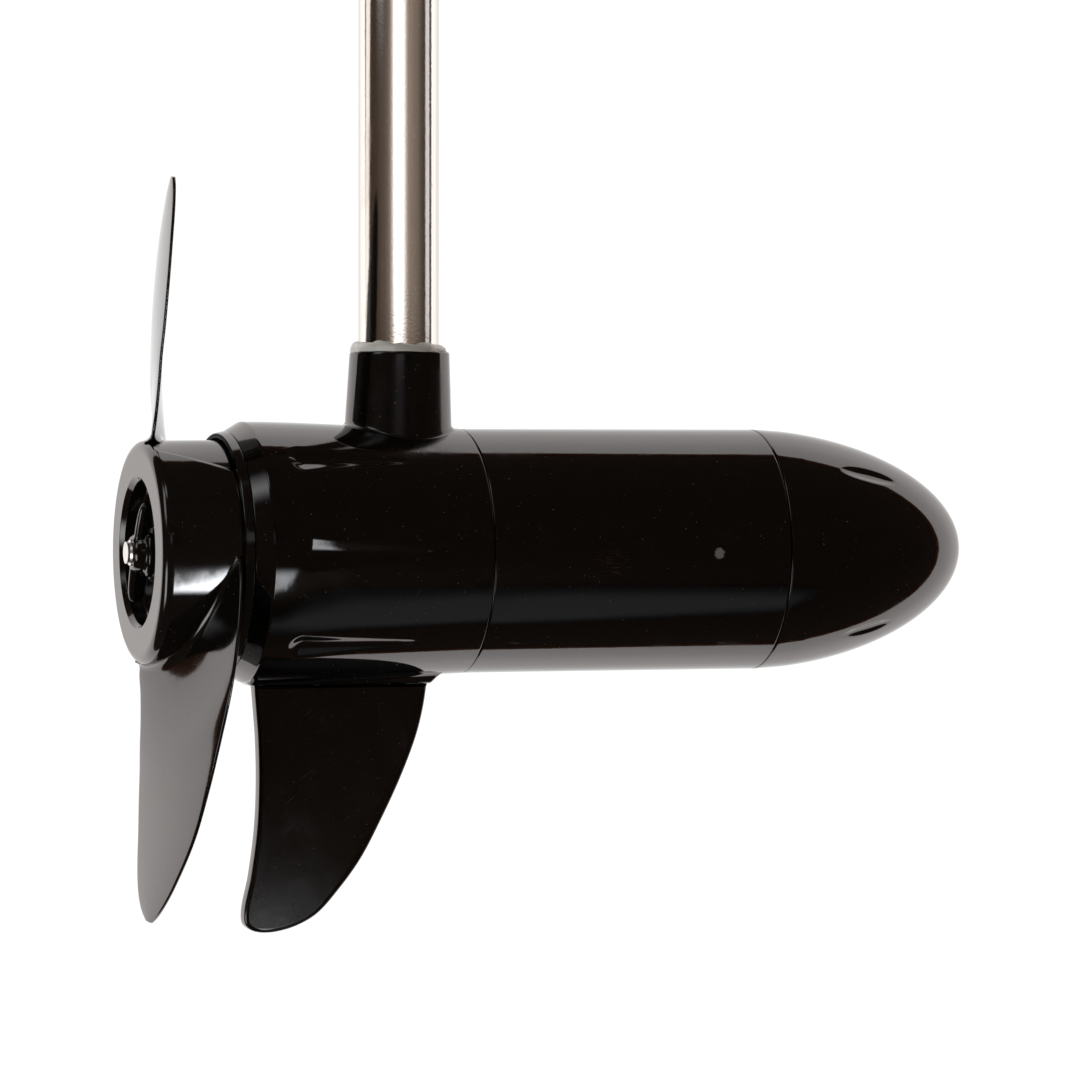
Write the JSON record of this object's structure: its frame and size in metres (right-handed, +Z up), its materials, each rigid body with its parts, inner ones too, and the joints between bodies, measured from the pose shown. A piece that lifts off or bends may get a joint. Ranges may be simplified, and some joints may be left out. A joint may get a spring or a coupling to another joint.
{
  "type": "trolling motor lower unit",
  "caption": "Electric trolling motor lower unit: glossy black pod with skeg and weedless propeller on a stainless shaft tube, with its armature, brushes, bearings and seals inside.",
  "frame": {"origin": "middle of the shaft tube's top end, where a longer tube, bracket or head takes over", "axes": "+Z up the shaft tube; +X from the propeller towards the nose, the way the motor pushes; +Y to the motor's left"},
  "size_m": [0.2776, 0.0978, 0.3335],
  "materials": {
    "stainless": "brushed stainless steel tube",
    "sealant": "hand-run bead of pale sealant",
    "pod_paint": "high-gloss black paint on metal",
    "gloss_plastic": "glossy moulded black plastic",
    "bright_steel": "bright stainless fasteners and shaft",
    "bearing_steel": "ground bearing steel",
    "brass": "stamped brass",
    "copper": "copper, wound, turned and braided",
    "lamination": "stacked steel laminations",
    "magnet": "ground ferrite magnet",
    "moulding": "moulded phenolic",
    "fibre": "phenolic sheet",
    "carbon": "pressed copper-carbon",
    "rubber": "black nitrile rubber",
    "red_insulation": "red wire insulation",
    "black_insulation": "black wire insulation"
  },
  "bodies": {
    "pod": {"shaft_tube": "stainless", "shaft_sealant": "sealant", "shaft_grommet": "rubber", "rear_housing": "pod_paint", "rear_trim_ring": "gloss_plastic", "skeg": "gloss_plastic", "skeg_screws": "bright_steel", "motor_tube": "pod_paint", "magnet_upper": "magnet", "magnet_lower": "magnet", "nose_cone": "pod_paint", "o_ring_rear": "rubber", "o_ring_front": "rubber", "through_bolts": "bright_steel", "bolt_seals": "rubber", "shaft_seal_outer": "rubber", "shaft_seal_inner": "rubber", "rear_bearing_outer": "bearing_steel", "front_bearing_outer": "bearing_steel", "preload_washer": "bright_steel", "brush_plate": "fibre", "brush_plate_screws": "bright_steel", "brush_holder_upper": "brass", "brush_holder_lower": "brass", "brush_spring_upper": "bright_steel", "brush_spring_lower": "bright_steel", "brush_pigtail_upper": "copper", "brush_pigtail_lower": "copper", "lead_red": "red_insulation", "lead_black": "black_insulation", "lug_red": "brass", "lug_black": "brass", "lug_screws": "bright_steel", "bus_strap": "brass", "terminal_red": "brass", "terminal_black": "brass"},
    "rotor": {"motor_shaft": "bright_steel", "armature_core": "lamination", "slot_wedges": "fibre", "armature_windings": "copper", "commutator_hub": "moulding", "commutator_bars": "copper", "shaft_circlip": "bright_steel", "drive_pin": "bright_steel", "propeller": "gloss_plastic", "prop_washer": "bright_steel", "prop_nut": "gloss_plastic", "rear_bearing_inner": "bearing_steel", "front_bearing_inner": "bearing_steel"},
    "rear_ball_set": {"rear_bearing_balls": "bearing_steel", "rear_bearing_cage": "brass"},
    "front_ball_set": {"front_bearing_balls": "bearing_steel", "front_bearing_cage": "brass"},
    "upper_brush": {"brush_upper": "carbon"},
    "lower_brush": {"brush_lower": "carbon"}
  },
  "joints": [
    {"name": "prop_spin", "type": "hinge", "parent": "pod", "child": "rotor", "pos_m": [0, 0, -0.215], "axis": [1, 0, 0], "continuous": true},
    {"name": "rear_ball_spin", "type": "hinge", "parent": "pod", "child": "rear_ball_set", "pos_m": [0, 0, -0.215], "axis": [1, 0, 0], "continuous": true},
    {"name": "front_ball_spin", "type": "hinge", "parent": "pod", "child": "front_ball_set", "pos_m": [0, 0, -0.215], "axis": [1, 0, 0], "continuous": true},
    {"name": "upper_brush_slide", "type": "slide", "parent": "pod", "child": "upper_brush", "axis": [0, 0, 1], "range_m": [0, 0.003], "stiffness_N_per_m": 250, "springref_m": -0.006, "deforming": ["brush_spring_upper", "brush_pigtail_upper"]},
    {"name": "lower_brush_slide", "type": "slide", "parent": "pod", "child": "lower_brush", "axis": [0, 0, -1], "range_m": [0, 0.003], "stiffness_N_per_m": 250, "springref_m": -0.006, "deforming": ["brush_spring_lower", "brush_pigtail_lower"]}
  ],
  "couplings": [
    {"joint": "rear_ball_spin", "follows": "prop_spin", "ratio": 0.3636},
    {"joint": "front_ball_spin", "follows": "prop_spin", "ratio": 0.37}
  ]
}
